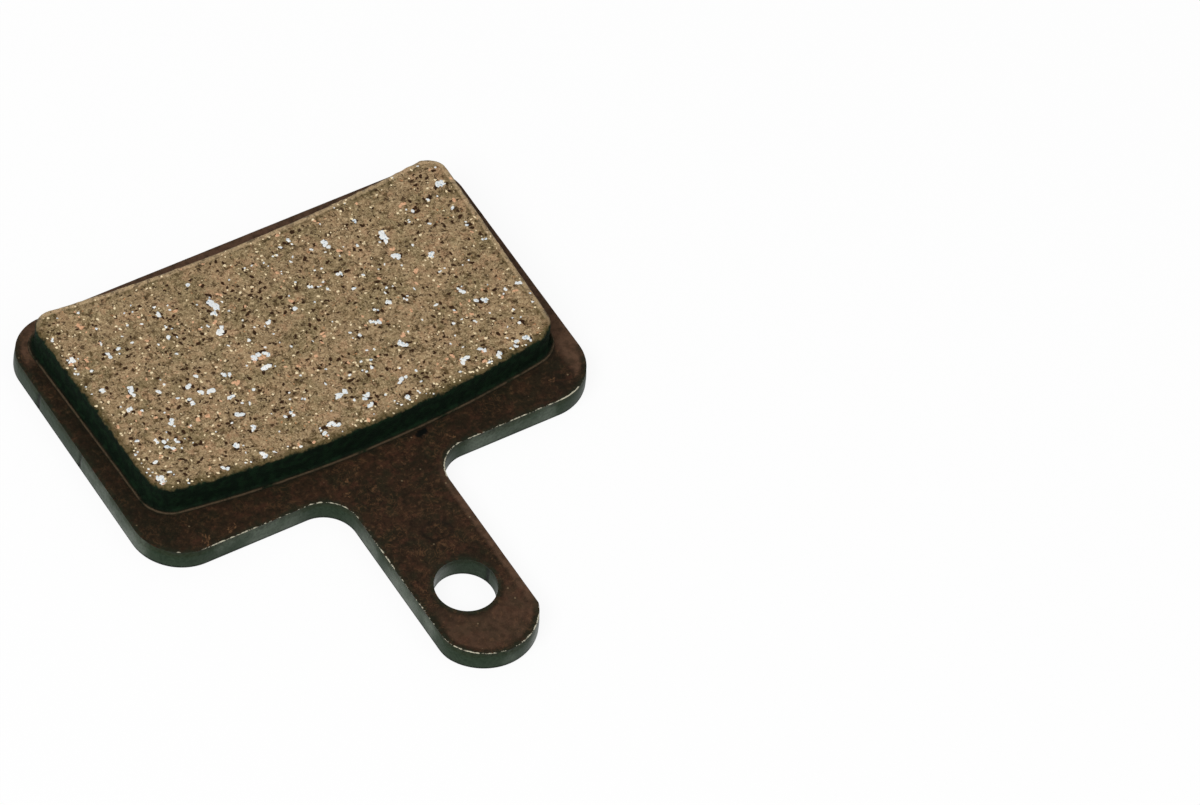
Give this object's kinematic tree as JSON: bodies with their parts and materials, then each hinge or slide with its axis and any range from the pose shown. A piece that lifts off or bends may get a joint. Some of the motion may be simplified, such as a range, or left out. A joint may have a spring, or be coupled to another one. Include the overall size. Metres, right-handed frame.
{
  "type": "bicycle disc brake pad",
  "caption": "Bicycle disc brake pad: a T-shaped steel backing plate with a pin hole in its tab, and an arc-shaped friction block keyed through the plate.",
  "frame": {"origin": "middle of the rectangular body's back face, where the caliper's piston presses", "axes": "+X along the long side of the rectangular body, -Y towards the tip of the tab, +Z from the back face to the friction face"},
  "size_m": [0.03, 0.0336, 0.0033],
  "materials": {
    "painted_steel": "semi-gloss dark green paint on the back and the rim, dull brown adhesive coat on the friction side",
    "friction_compound": "matte pressed compound with metal and mineral flecks, its sides under dark green paint"
  },
  "bodies": {
    "root": {"backing_plate": "painted_steel", "friction_block": "friction_compound"}
  },
  "joints": []
}
